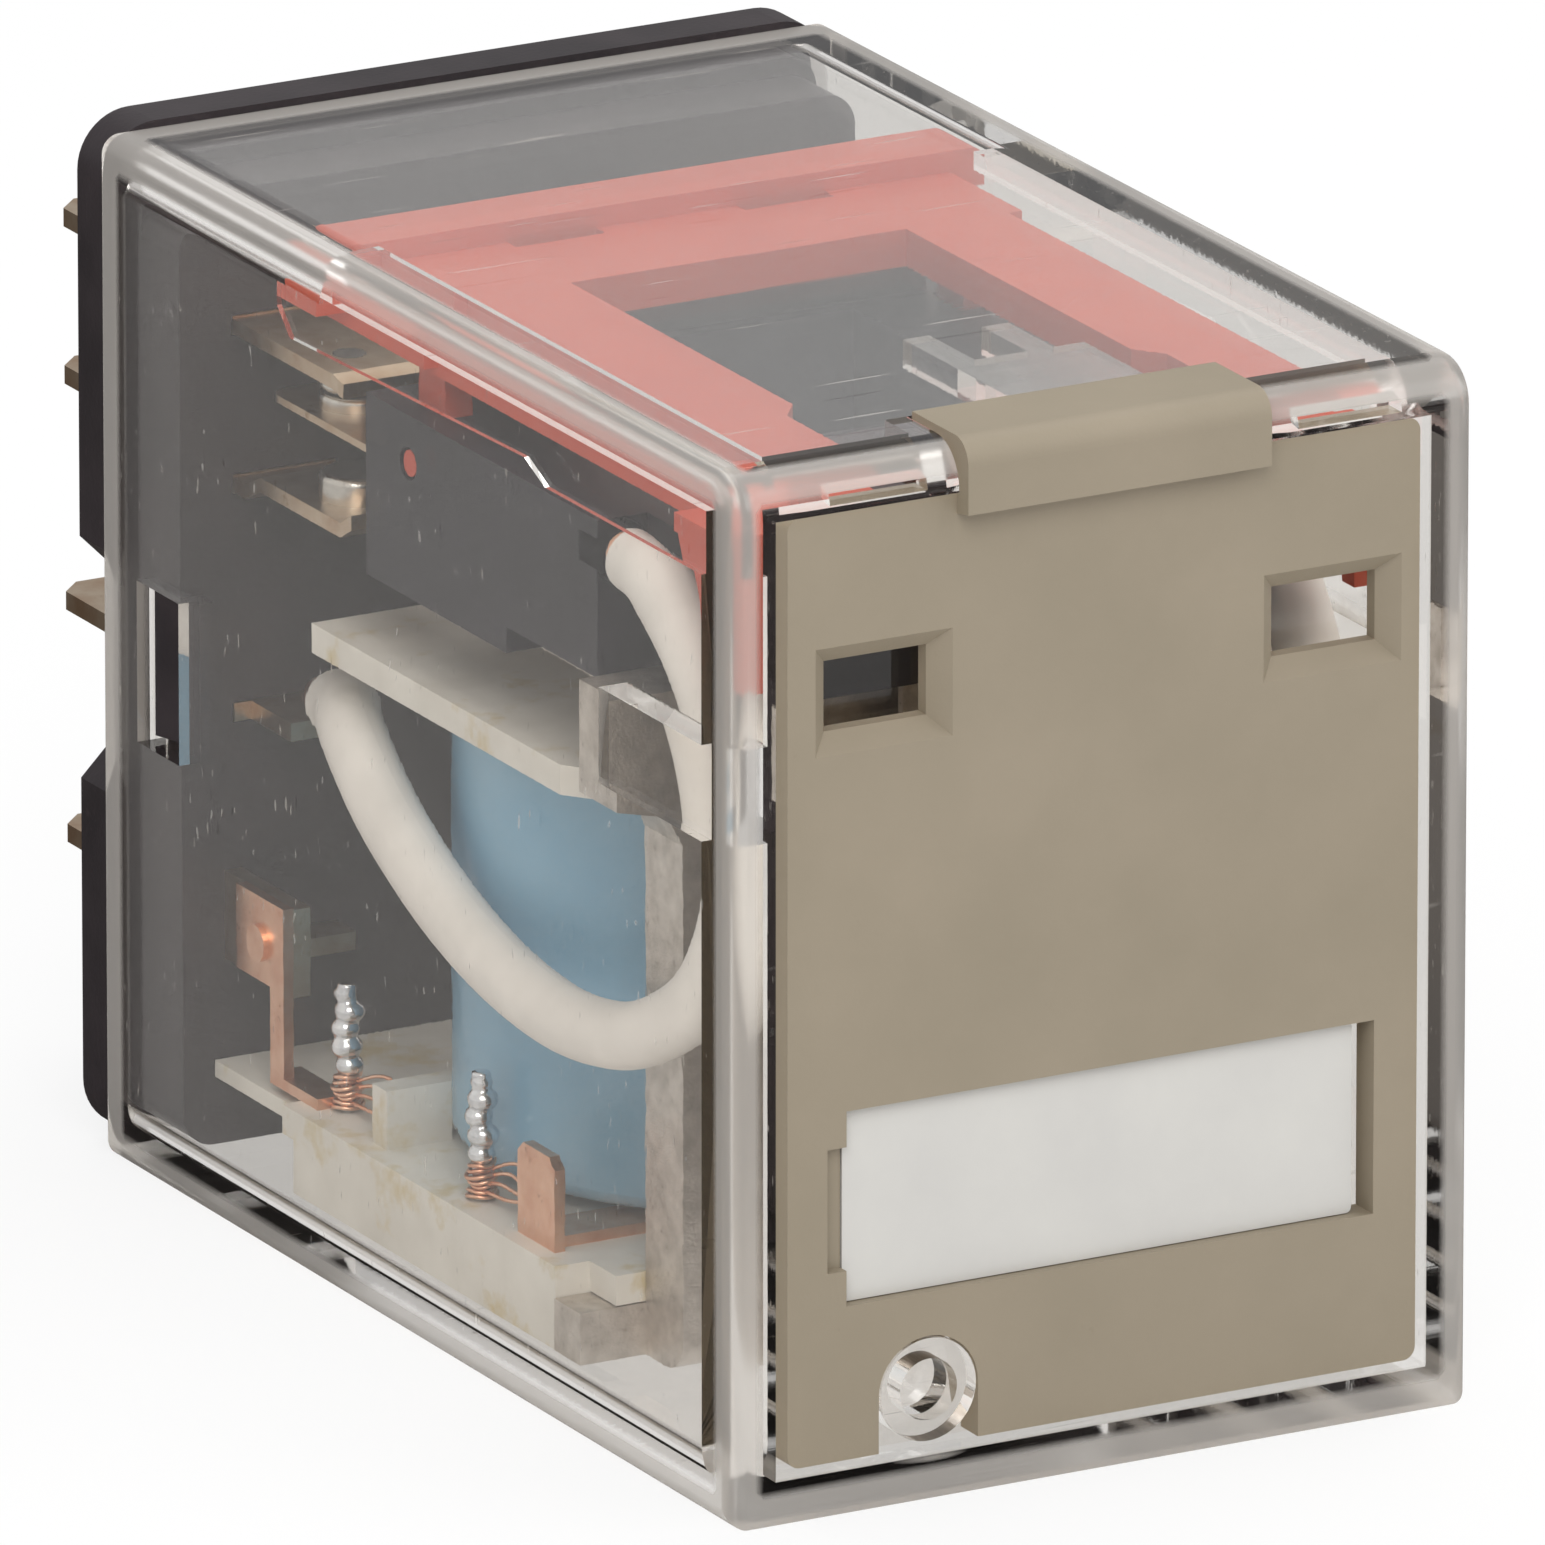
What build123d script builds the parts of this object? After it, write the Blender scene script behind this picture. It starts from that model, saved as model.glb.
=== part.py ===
from build123d import *
import os
from math import pi, radians, sin, tan

# Plug-in control relay with two change-over poles, lying on its narrow side as it is handled.
# Lengths are in millimetres. The working frame has y = 0 on the front face of the clear case,
# +Y towards the plug-in blades, z = 0 under the case, and x = 0 on the middle plane between the
# two poles. At export everything moves along Y so that the origin is at the bottom centre.

# ---- clear case
case_width = 21.5
case_height = 27.85
case_length = 34.0
wall = 0.9
front_wall = 0.9
case_round = 0.5
cavity_round = 0.8
case_front_round = 1.2
bezel_side = 1.3
bezel_bottom = 1.15
bezel_top = 1.25
pocket_depth = 1.2

# ---- front plate, its tab over the case edge, and the writing tag
plate_thickness = 0.9
plate_gap_left = 0.5
plate_gap_right = 0.15
plate_gap_bottom = 0.15
plate_gap_top = 0.1
tab_left = -4.1
tab_right = 4.65
tab_proud = 0.3
tab_top_proud = 0.15
tab_reach = 2.65
tab_thickness = 0.85
window_height = 1.86
window_lower_edge = 20.6
window_left = (-7.65, -4.71)
window_right = (5.27, 8.28)
window_bevel = 0.5
tag_left = -7.25
tag_right = 7.6
tag_bottom = 5.4
tag_height = 5.2
tag_thickness = 0.6
tag_slit = 0.45
tag_notch_width = 0.55
tag_notch_inset = 0.95
stud_x = -4.88
stud_z = 2.8
stud_diameter = 2.75
stud_hole = 1.65

# ---- snap windows in both side walls, with the base latches inside them
snap_length = 2.33
snap_height = 4.4
snap_bottom = 11.9
snap_from_rear = 1.8
latch_clearance = 0.15

# ---- moulded details inside the case
thick_band = 0.4
thick_band_bottom = 24.8
thick_band_length = 22.6
corner_rail_width = 1.15
corner_rail_height = 0.5
stop_block_depth = 0.85
stop_block_bottom = 17.75
stop_block_top = 20.3
fork_left = -0.1
fork_right = 3.85
fork_thickness = 0.76
fork_plate_end = 8.0
fork_prong_end = 10.4
fork_prong_width = 0.76
fork_drop = 0.45

# ---- base
flange_thickness = 1.7
flange_inset_x = 0.03
flange_inset_bottom = 0.25
flange_over_top = 0.2
flange_round = 1.5
flange_gap_bottom = 10.0
flange_gap_top = 16.6
flange_gap_depth = 1.1
base_clearance = 0.2
base_depth = 3.3
base_round = 0.9
base_step = 2.1
base_step_drop = 0.45
slot_clearance = 0.03
barrier_thickness = 1.2
barrier_bottom = 17.2
barrier_top = 23.6
barrier_length = 4.2

# ---- terminals
pole_pitch = 13.2
blade_width = 3.0
blade_thickness = 0.5
blade_length = 6.4
blade_chamfer = 0.8
nc_level = 23.3
no_level = 19.0
com_level = 12.8
coil_level = 6.4

# ---- contacts, measured back from the front face of the base body
arm_thickness = 0.4
contact_from_base = 4.1
arm_past_contact = 2.4
contact_radius = 1.05
contact_shank = 0.45
contact_clearance = 0.05
movable_level = 22.0
spring_thickness = 0.2
movable_head = 0.4
movable_past_contact = 2.1
no_arm_rise = 0.4
lug_length = 2.2

# ---- magnet
yoke_thickness = 2.0
yoke_front = 7.6
yoke_half_width = 7.4
ear_reach = 0.55
ear_bottom = 16.85
ear_top = 19.85
yoke_notch_clearance = 0.2
foot_bottom = 1.45
foot_thickness = 1.4
foot_ear_length = 1.4
foot_tail_half_width = 4.5
core_radius = 2.6
pole_radius = 3.4
pole_thickness = 0.75
hinge_level = 18.3
hinge_gap = 0.05
armature_thickness = 1.0
armature_travel = 3.6
armature_end = 23.8
armature_tail_half_width = 6.7
coil_y = 17.7
bobbin_flange = 0.8
bobbin_tube_wall = 0.8
bobbin_upper_overhang = 1.0
bobbin_lower_overhang = 1.6
bobbin_skirt_drop = 1.45
bobbin_skirt_thickness = 1.35
winding_end_gap = 0.1
winding_foot = 0.4
hinge_spring_thickness = 0.25
hinge_spring_width = 5.0

# ---- coil leads
pin_radius = 0.28
pin_height = 3.5
lead_thickness = 0.3
lead_strip_width = 0.75
lead_plate_length = 2.6
lead_plate_height = 2.4

# ---- carrier and indicator frame
carrier_side_gap = 1.35
carrier_rear = 22.6
carrier_bottom = 19.6
carrier_skirt_bottom = 18.9
carrier_skirt_front = 15.0
carrier_top = 23.8
carrier_nose_front = 4.6
carrier_nose_bottom = 20.2
carrier_nose_half_width = 6.8
frame_headroom = 0.65
frame_thickness = 1.0
frame_rear = 25.2
frame_cross_bar_depth = 2.0
frame_cross_bar_headroom = 0.1
frame_cross_bar_end_gap = 0.1
frame_bar_front = 19.3
frame_half_width = 8.3
frame_arm_half_width = 7.9
frame_opening_half_width = 4.9
frame_opening_widening = 0.6
frame_front_gap = 0.35
frame_window = 2.2
frame_window_x = 3.35
frame_window_y = 23.8
frame_skirt = 0.25
frame_leg_bottom = 21.6
frame_leg_depth = 0.9
peg_radius = 0.4
peg_y = 20.3
peg_z = 22.5
peg_clearance = 0.1

# ---- sleeved pigtails, one a pole, and the gap between sleeve and side wall
sleeve_radius = 0.875
sleeve_bore = 0.6
braid_radius = 0.55
sleeve_wall_gap = 0.25
sleeve_coil_gap = 0.2

# ---- places that follow from the sizes above
half_width = case_width / 2
inner_half = half_width - wall
ceiling = case_height - wall
front_inside = pocket_depth + front_wall
plate_face = pocket_depth - plate_thickness
plate_top = case_height - bezel_top - plate_gap_top
base_front = case_length - base_depth
base_half = inner_half - base_clearance
seat_face = case_length + flange_thickness
blade_tip = seat_face + blade_length
pole_x = pole_pitch / 2
contact_y = base_front - contact_from_base
arm_tip = contact_y - arm_past_contact
sleeve_x = inner_half - sleeve_wall_gap - sleeve_radius
coil_radius = sleeve_x - sleeve_radius - sleeve_coil_gap
yoke_rear = yoke_front + yoke_thickness
hinge_y = yoke_rear
armature_bottom = hinge_level + hinge_gap
armature_top = armature_bottom + armature_thickness
pole_drop = (coil_y + pole_radius - hinge_y) * sin(radians(armature_travel))
pole_top = armature_bottom - pole_drop - contact_clearance
foot_top = foot_bottom + foot_thickness
lower_flange_top = foot_top + bobbin_flange + slot_clearance
upper_flange_top = pole_top - pole_thickness
upper_flange_bottom = upper_flange_top - bobbin_flange
contact_drop = (contact_y + contact_radius - hinge_y) * sin(radians(armature_travel))
movable_top = movable_level + spring_thickness / 2 + movable_head
movable_bottom = movable_level - spring_thickness / 2 - movable_head
nc_arm_bottom = nc_level - arm_thickness / 2
no_arm_level = no_level + no_arm_rise
no_arm_top = no_arm_level + arm_thickness / 2
frame_top = ceiling - frame_headroom
frame_bottom = frame_top - frame_thickness
carrier_half = inner_half - carrier_side_gap
centre_shift = (blade_tip - tab_proud) / 2


def block(x0, x1, y0, y1, z0, z1):
    """A box given by its two corners."""
    size = Box(abs(x1 - x0), abs(y1 - y0), abs(z1 - z0))
    return Pos((x0 + x1) / 2, (y0 + y1) / 2, (z0 + z1) / 2) * size


def upright(x, y, z0, z1, radius):
    """A cylinder that stands along Z."""
    return Pos(x, y, (z0 + z1) / 2) * Cylinder(radius, z1 - z0)


def bar_along_y(x, z, y0, y1, radius):
    """A cylinder that lies along Y."""
    return Pos(x, (y0 + y1) / 2, z) * Rot(90, 0, 0) * Cylinder(radius, y1 - y0)


def bar_along_x(y, z, x0, x1, radius):
    """A cylinder that lies along X."""
    return Pos((x0 + x1) / 2, y, z) * Rot(0, 90, 0) * Cylinder(radius, abs(x1 - x0))


def side_prism(points, x0, x1):
    """An outline in (y, z), as thick as x0 to x1."""
    outline = make_face(Polyline(*[(x0, y, z) for y, z in points], close=True))
    return extrude(outline, x1 - x0, dir=(1, 0, 0))


def front_prism(points, y0, y1):
    """An outline in (x, z), as thick as y0 to y1."""
    outline = make_face(Polyline(*[(x, y0, z) for x, z in points], close=True))
    return extrude(outline, y1 - y0, dir=(0, 1, 0))


def plan_prism(points, z0, z1):
    """An outline in (x, y), as thick as z0 to z1."""
    outline = make_face(Polyline(*[(x, y, z0) for x, y in points], close=True))
    return extrude(outline, z1 - z0, dir=(0, 0, 1))


def mirrored(shape):
    """The same shape for the other pole."""
    return mirror(shape, about=Plane.YZ)


def both(shape):
    """A shape with its mirror image."""
    return shape + mirrored(shape)


def edges_at(shape, axis, **places):
    """Edges along an axis that lie at the given places."""
    found = []
    for edge in shape.edges().filter_by(axis):
        middle = edge.center()
        if all(abs(getattr(middle, name.upper()) - value) < 0.01 for name, value in places.items()):
            found.append(edge)
    return found


def snap_window(clearance=0.0):
    """The opening of one side wall, cut right through it."""
    rear = case_length - snap_from_rear - clearance
    front = case_length - snap_from_rear - snap_length + clearance
    return front, rear, snap_bottom + clearance, snap_bottom + snap_height - clearance


def make_case():
    shell = block(-half_width, half_width, 0, case_length, 0, case_height)
    shell = fillet(edges_at(shell, Axis.X, y=0, z=case_height), case_front_round)
    side_edges = shell.edges().filter_by(Axis.Y)
    shell = fillet(side_edges, case_round)
    cavity = block(-inner_half, inner_half, front_inside, case_length + 1, wall, ceiling)
    shell -= fillet(cavity.edges().filter_by(Axis.Y), cavity_round)
    pocket_half = half_width - bezel_side
    pocket_top = case_height - bezel_top
    shell -= block(-pocket_half, pocket_half, -1, pocket_depth, bezel_bottom, pocket_top)

    # The band along each upper side, the rail in each upper corner and the yoke stops.
    band_inside = inner_half - thick_band
    rear = thick_band_length
    band = side_prism([
        (front_inside, ceiling), (rear, ceiling), (rear, ceiling - 0.6), (rear + 2.3, ceiling - 0.6),
        (rear + 2.3, ceiling - 1.25), (rear + 1.6, thick_band_bottom + 0.2),
        (rear / 2 + 0.2, thick_band_bottom + 0.5), (rear / 2 - 0.9, thick_band_bottom),
        (front_inside, thick_band_bottom)], band_inside, inner_half)
    rail = block(inner_half - corner_rail_width, inner_half, front_inside, rear,
                 ceiling - corner_rail_height, ceiling)
    stop = block(inner_half - stop_block_depth, inner_half, front_inside, yoke_front - hinge_gap,
                 stop_block_bottom, stop_block_top)
    shell += both(band + rail + stop)

    # The fork that stands out from the front wall, under the top.
    fork_top = ceiling - fork_drop
    fork_bottom = fork_top - fork_thickness
    fork = block(fork_left, fork_right, front_inside, fork_plate_end, fork_bottom, fork_top)
    prong_reach = (fork_left + fork_prong_width, fork_right - 0.9)
    for right in prong_reach:
        fork += block(right - fork_prong_width, right, fork_plate_end, fork_prong_end,
                      fork_bottom, fork_top)
    shell += fork

    # The notch for the plate's tab, with the thicker wall under it.
    notch_floor = case_height + tab_top_proud - tab_thickness
    shell += block(tab_left - 0.4, tab_right + 0.4, front_inside, tab_reach + 0.7,
                   notch_floor - wall, ceiling)
    shell -= block(tab_left - plate_gap_top, tab_right + plate_gap_top, -1,
                   tab_reach + plate_gap_top, notch_floor, case_height + 1)
    shell -= block(tab_left - plate_gap_top, tab_right + plate_gap_top, -1, pocket_depth,
                   pocket_top - 1, case_height + 1)
    for left, right in ((-7.9, -5.1), (5.6, 8.6)):
        slit = block(left, right, -1, 0.7, pocket_top + 0.2, pocket_top + 0.5)
        shell -= slit

    # The stud in the plate's notch, and the snap windows.
    shell += bar_along_y(stud_x, stud_z, plate_face, pocket_depth, stud_diameter / 2)
    shell -= bar_along_y(stud_x, stud_z, plate_face - 1, pocket_depth + 0.3, stud_hole / 2)
    front, rear, bottom, top = snap_window()
    shell -= both(block(inner_half - 0.5, half_width + 1, front, rear, bottom, top))
    return shell


def bevelled_window(left, right):
    """The cut of one window: a straight hole with a bevel around its front."""
    bottom = window_lower_edge
    top = bottom + window_height
    hole = block(left, right, plate_face - 1, pocket_depth + 1, bottom, top)
    middle = Pos((left + right) / 2, plate_face, (bottom + top) / 2)
    width = right - left
    wide = Plane.XZ * Rectangle(width + 2 * window_bevel, window_height + 2 * window_bevel)
    tight = Plane.XZ.offset(-window_bevel) * Rectangle(width, window_height)
    return hole + middle * loft([wide.face(), tight.face()])


def make_front_plate():
    left = -(half_width - bezel_side) + plate_gap_left
    right = half_width - bezel_side - plate_gap_right
    bottom = bezel_bottom + plate_gap_bottom
    plate = block(left, right, plate_face, pocket_depth, bottom, plate_top)
    plate = fillet(plate.edges().filter_by(Axis.Y), 0.35)
    tab_top = case_height + tab_top_proud
    tab = side_prism([
        (pocket_depth, plate_top - 1), (plate_face, plate_top - 1), (plate_face, plate_top - 0.55),
        (-tab_proud, plate_top - 0.45), (-tab_proud, tab_top), (tab_reach, tab_top),
        (tab_reach, tab_top - tab_thickness), (pocket_depth, tab_top - tab_thickness)],
        tab_left, tab_right)
    tab = fillet(edges_at(tab, Axis.X, y=-tab_proud, z=tab_top), 0.7)
    plate += tab
    for window in (window_left, window_right):
        plate -= bevelled_window(*window)

    # The opening of the tag with its slit on the right, and the finger notch on the left.
    tag_top = tag_bottom + tag_height
    plate -= block(tag_left, tag_right + tag_slit, plate_face - 1, pocket_depth + 1, tag_bottom, tag_top)
    plate -= block(tag_left - tag_notch_width, tag_left, plate_face - 1, plate_face + 0.35,
                   tag_bottom + tag_notch_inset, tag_top - tag_notch_inset)

    # The U-shaped notch around the stud.
    notch_radius = stud_diameter / 2 + 0.06
    plate -= bar_along_y(stud_x, stud_z, plate_face - 1, pocket_depth + 1, notch_radius)
    plate -= block(stud_x - notch_radius, stud_x + notch_radius, plate_face - 1, pocket_depth + 1,
                   bottom - 1, stud_z)
    return plate


def make_name_tag():
    side = slot_clearance
    tag = block(tag_left + side, tag_right - side, pocket_depth - tag_thickness, pocket_depth,
                tag_bottom + side, tag_bottom + tag_height - side)
    return fillet(tag.edges().filter_by(Axis.Y), 0.15)


def blade_profile(level):
    """A blade with tapered tip, from inside the base to its end."""
    x0 = pole_x - blade_width / 2
    x1 = pole_x + blade_width / 2
    z0 = level - blade_thickness / 2
    blade = plan_prism([
        (x0, base_front), (x1, base_front), (x1, blade_tip - blade_chamfer),
        (x1 - blade_chamfer, blade_tip), (x0 + blade_chamfer, blade_tip),
        (x0, blade_tip - blade_chamfer)], z0, z0 + blade_thickness)
    tips = [edge for edge in blade.edges().filter_by(Axis.X) if edge.center().Y > blade_tip - 0.01]
    return chamfer(tips, 0.18)


def arm(level, tip, rise=0.0, curl=0.0):
    """A flat contact arm from the base to its tip, raised by a jog and curled at the end."""
    half = arm_thickness / 2
    low = level - half
    path = [(base_front, low), (base_front - 0.7, low), (base_front - 1.5, low + rise),
            (tip + 0.6, low + rise), (tip, low + rise + curl)]
    outline = path + [(y, z + arm_thickness) for y, z in reversed(path)]
    return side_prism(outline, pole_x - blade_width / 2, pole_x + blade_width / 2)


def make_terminal_nc():
    strip = blade_profile(nc_level) + arm(nc_level, arm_tip + 0.4, curl=-0.12)
    return strip - upright(pole_x, contact_y, nc_level - 1, nc_level + 1, contact_shank)


def make_terminal_no():
    strip = blade_profile(no_level) + arm(no_level, arm_tip, rise=no_arm_rise, curl=0.35)
    return strip - upright(pole_x, contact_y, no_level - 1, no_level + 2, contact_shank)


def make_terminal_com():
    lug = block(pole_x - 1.0, pole_x + 1.0, base_front - lug_length, base_front,
                com_level - blade_thickness / 2, com_level + blade_thickness / 2)
    return blade_profile(com_level) + lug


def make_terminal_coil():
    """Blade with an upright tab at its outer edge, where the coil lead is riveted."""
    tab_outer = pole_x + blade_width / 2 + lead_thickness
    tab_inner = tab_outer - blade_thickness
    tab_front = base_front - lead_plate_length - 1.2
    tab = block(tab_inner, tab_outer, tab_front, base_front, coil_level - blade_thickness / 2,
                coil_level - blade_thickness / 2 + lead_plate_height)
    link = block(pole_x - blade_width / 2, tab_outer, base_front - 1.0, base_front,
                 coil_level - blade_thickness / 2, coil_level + blade_thickness / 2)
    hole = bar_along_x(tab_front + lead_plate_length / 2, coil_level + lead_plate_height / 2 - 0.25,
                       tab_inner - 1, tab_outer + 1, 0.35)
    return blade_profile(coil_level) + tab + link - hole


def rivet(head_from, head_to, shank_to):
    """A contact rivet: a domed head and the shank through its arm."""
    low, high = sorted((head_from, head_to))
    head = upright(pole_x, contact_y, low, high, contact_radius)
    rim = [edge for edge in head.edges() if abs(edge.center().Z - head_to) < 0.01]
    head = fillet(rim, min(0.2, (high - low) / 2.5))
    shank_low, shank_high = sorted((head_from, shank_to))
    return head + upright(pole_x, contact_y, shank_low, shank_high, contact_shank)


def make_contact_nc():
    return rivet(nc_arm_bottom, movable_top + contact_clearance, nc_arm_bottom + arm_thickness)


def make_contact_no():
    head_top = movable_bottom - contact_drop - contact_clearance
    return rivet(no_arm_top, head_top, no_arm_top - arm_thickness)


def make_movable_spring():
    front = carrier_nose_front + 9.0
    strip = block(pole_x - blade_width / 2, pole_x + blade_width / 2, front,
                  contact_y + movable_past_contact, movable_level - spring_thickness / 2,
                  movable_level + spring_thickness / 2)
    tip_edges = [edge for edge in strip.edges().filter_by(Axis.Z)
                 if edge.center().Y > contact_y]
    strip = fillet(tip_edges, 0.5)
    return strip - upright(pole_x, contact_y, movable_level - 1, movable_level + 1, contact_shank)


def make_movable_contact():
    upper = rivet(movable_level + spring_thickness / 2, movable_top, movable_level)
    lower = rivet(movable_level - spring_thickness / 2, movable_bottom, movable_level)
    return upper + lower


def make_base():
    flange_half = half_width - flange_inset_x
    flange = block(-flange_half, flange_half, case_length, seat_face, flange_inset_bottom,
                   case_height + flange_over_top)
    flange = fillet(flange.edges().filter_by(Axis.Y), flange_round)
    gap = flange_gap_depth
    for side in (-1, 1):
        flange -= front_prism([
            (side * (flange_half + 1), flange_gap_bottom - gap),
            (side * flange_half, flange_gap_bottom), (side * (flange_half - gap), flange_gap_bottom + gap),
            (side * (flange_half - gap), flange_gap_top - gap), (side * flange_half, flange_gap_top),
            (side * (flange_half + 1), flange_gap_top + gap)], case_length - 1, seat_face + 1)
    flange = chamfer(flange.faces().sort_by(Axis.Y)[-1].outer_wire().edges(), 0.25)

    low = wall + base_clearance
    high = ceiling - base_clearance
    body = block(-base_half, base_half, base_front + base_step, case_length, low, high)
    body = fillet(body.edges().filter_by(Axis.Y), base_round)
    nose = block(-base_half, base_half, base_front, base_front + base_step, low, high - base_step_drop)
    body += fillet(nose.edges().filter_by(Axis.Y), base_round)

    # Latches that spring into the side windows of the case.
    front, rear, bottom, top = snap_window(latch_clearance)
    latch = plan_prism([(base_half - 0.6, front), (base_half, front), (inner_half + 0.45, rear),
                        (base_half - 0.6, rear)], bottom, top)
    body += both(latch)

    # The wall between the two poles.
    body += block(-barrier_thickness / 2, barrier_thickness / 2, base_front - barrier_length,
                  base_front, barrier_bottom, barrier_top)
    body += flange

    # Slots of the blades and of the yoke's tail.
    spare = slot_clearance
    for level in (nc_level, no_level, com_level, coil_level):
        slot = block(pole_x - blade_width / 2 - spare, pole_x + blade_width / 2 + spare,
                     base_front - 1, seat_face + 1, level - blade_thickness / 2 - spare,
                     level + blade_thickness / 2 + spare)
        body -= both(slot)
    body -= block(-foot_tail_half_width - spare, foot_tail_half_width + spare, base_front - 1,
                  base_front + base_step + spare, foot_bottom - spare, foot_top + spare)
    return body


def make_yoke():
    """Upright plate with two ears around the armature, and the foot under the coil."""
    plate = block(-yoke_half_width, yoke_half_width, yoke_front, yoke_rear, foot_bottom, ear_top)
    ear_half = inner_half - ear_reach
    ears = front_prism([
        (yoke_half_width - 0.1, ear_bottom - 1.2), (yoke_half_width, ear_bottom - 1.2),
        (yoke_half_width + 0.45, ear_bottom - 0.35), (ear_half, ear_bottom), (ear_half, ear_top),
        (yoke_half_width - 0.1, ear_top)], yoke_front, yoke_rear)
    plate += both(ears)
    notch_half = armature_tail_half_width + yoke_notch_clearance
    plate -= block(-notch_half, notch_half, yoke_front - 1, yoke_rear + 1, hinge_level, ear_top + 1)
    foot = block(-yoke_half_width, yoke_half_width, yoke_rear - 0.1, coil_y + coil_radius,
                 foot_bottom, foot_top)
    foot += block(-ear_half, ear_half, yoke_rear, yoke_rear + foot_ear_length, foot_bottom, foot_top)
    foot += block(-foot_tail_half_width, foot_tail_half_width, coil_y, base_front + base_step,
                  foot_bottom, foot_top)
    yoke = plate + foot
    yoke = fillet(edges_at(yoke, Axis.X, y=yoke_front, z=foot_bottom), 0.9)
    return yoke - upright(0, coil_y, foot_bottom - 1, foot_top + 1, core_radius)


def make_core():
    shaft = upright(0, coil_y, foot_bottom, upper_flange_top, core_radius)
    pole = upright(0, coil_y, upper_flange_top, pole_top, pole_radius)
    return shaft + pole


def make_bobbin():
    """Coil former: tube, two end flanges, side skirts over the foot, pin lug and rear lip."""
    front = yoke_rear + slot_clearance
    rear = coil_y + coil_radius
    upper_half = coil_radius + bobbin_upper_overhang
    upper = plan_prism([
        (-upper_half, rear), (-upper_half, front + 2.2), (-upper_half + 1.4, front + 0.4),
        (-upper_half + 2.4, front), (upper_half - 2.4, front), (upper_half - 1.4, front + 0.4),
        (upper_half, front + 2.2), (upper_half, rear)], upper_flange_bottom, upper_flange_top)
    lower_half = coil_radius + bobbin_lower_overhang
    foot_front = yoke_rear + foot_ear_length + slot_clearance
    lower_bottom = lower_flange_top - bobbin_flange
    lower = block(-lower_half, lower_half, foot_front, rear + 0.6, lower_bottom, lower_flange_top)
    lower += block(-lower_half + 1.0, lower_half - 1.0, front, foot_front, lower_bottom, lower_flange_top)
    skirt = block(lower_half - bobbin_skirt_thickness, lower_half, foot_front, rear,
                  lower_bottom - bobbin_skirt_drop, lower_bottom)
    lower += both(skirt)
    lip = block(-lower_half + 0.5, lower_half - 0.5, rear + 0.6, base_front - 0.05,
                lower_bottom + 0.1, lower_flange_top - 0.25)
    lower += lip
    tube = upright(0, coil_y, lower_bottom, upper_flange_top, core_radius + bobbin_tube_wall)
    lug = plan_prism([(-lower_half + 0.6, coil_y + 3.6), (-coil_radius + 0.9, coil_y + 3.6),
                      (-coil_radius + 1.3, coil_y + 4.4), (-lower_half + 0.6, coil_y + 4.4)],
                     lower_flange_top, lower_flange_top + 1.6)
    former = upper + lower + tube + lug
    return former - upright(0, coil_y, 0, case_height, core_radius)


def make_winding():
    low = lower_flange_top + winding_foot
    high = upper_flange_bottom - winding_end_gap
    coil = upright(0, coil_y, low, high, coil_radius)
    coil = fillet(coil.edges().filter_by(GeomType.CIRCLE), 0.4)
    return coil - upright(0, coil_y, low - 1, high + 1, core_radius + bobbin_tube_wall)


def pin_place(rear):
    """Centre of the rear or front soldering pin, on the left of the former."""
    return (-coil_radius - 0.35, coil_y + 7.0) if rear else (-coil_radius - 0.7, coil_y - 1.0)


def make_coil_pins():
    pins = []
    for rear in (True, False):
        x, y = pin_place(rear)
        pins.append(upright(x, y, lower_flange_top, lower_flange_top + pin_height, pin_radius))
    return Compound(children=pins)


def lead_plate():
    """The riveted end of a coil lead, flat against the coil terminal's tab, on the right."""
    inner = pole_x + blade_width / 2 + lead_thickness
    front = base_front - lead_plate_length - 1.2
    bottom = coil_level - blade_thickness / 2 + 0.15
    plate = block(inner, inner + lead_thickness, front, front + lead_plate_length, bottom,
                  bottom + lead_plate_height - 0.1)
    rivet_head = bar_along_x(front + lead_plate_length / 2, coil_level + lead_plate_height / 2 - 0.25,
                             inner + lead_thickness, inner + lead_thickness + 0.15, 0.5)
    riser = block(inner, inner + lead_thickness, front, front + lead_strip_width, lower_flange_top, bottom)
    return plate + rivet_head + riser, inner, front


def make_lead_rear():
    """Short lead from the left coil terminal down to the rear pin."""
    plate, inner, front = lead_plate()
    x, y = pin_place(True)
    foot = block(inner - 0.6, inner + lead_thickness, y + pin_radius + 0.05, front + lead_strip_width,
                 lower_flange_top, lower_flange_top + lead_thickness)
    return mirrored(plate + foot)


def make_lead_front():
    """Long lead: tab beside the front pin, strip across the former, up the other side."""
    plate, inner, front = lead_plate()
    level = lower_flange_top
    across_front = coil_y - core_radius - bobbin_tube_wall - 2.0
    tab_x = -coil_radius - 1.1
    tab = block(tab_x, tab_x + lead_thickness, across_front - 0.3, across_front + 1.7, level, level + 2.5)
    tab = chamfer(edges_at(tab, Axis.X, z=level + 2.5), 0.3)
    cross = block(tab_x, inner + lead_thickness, across_front, across_front + 1.5, level,
                  level + lead_thickness)
    run = block(inner - 0.45, inner + lead_thickness, across_front, front + lead_strip_width, level,
                level + lead_thickness)
    return tab + cross + run + plate


def make_armature():
    """Flat steel plate that tips over the rear edge of the yoke."""
    plate = block(-armature_tail_half_width, armature_tail_half_width, yoke_front + 0.1, armature_end - 1.8,
                  armature_bottom, armature_top)
    return chamfer(plate.edges().filter_by(Axis.Z), 0.4)


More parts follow.
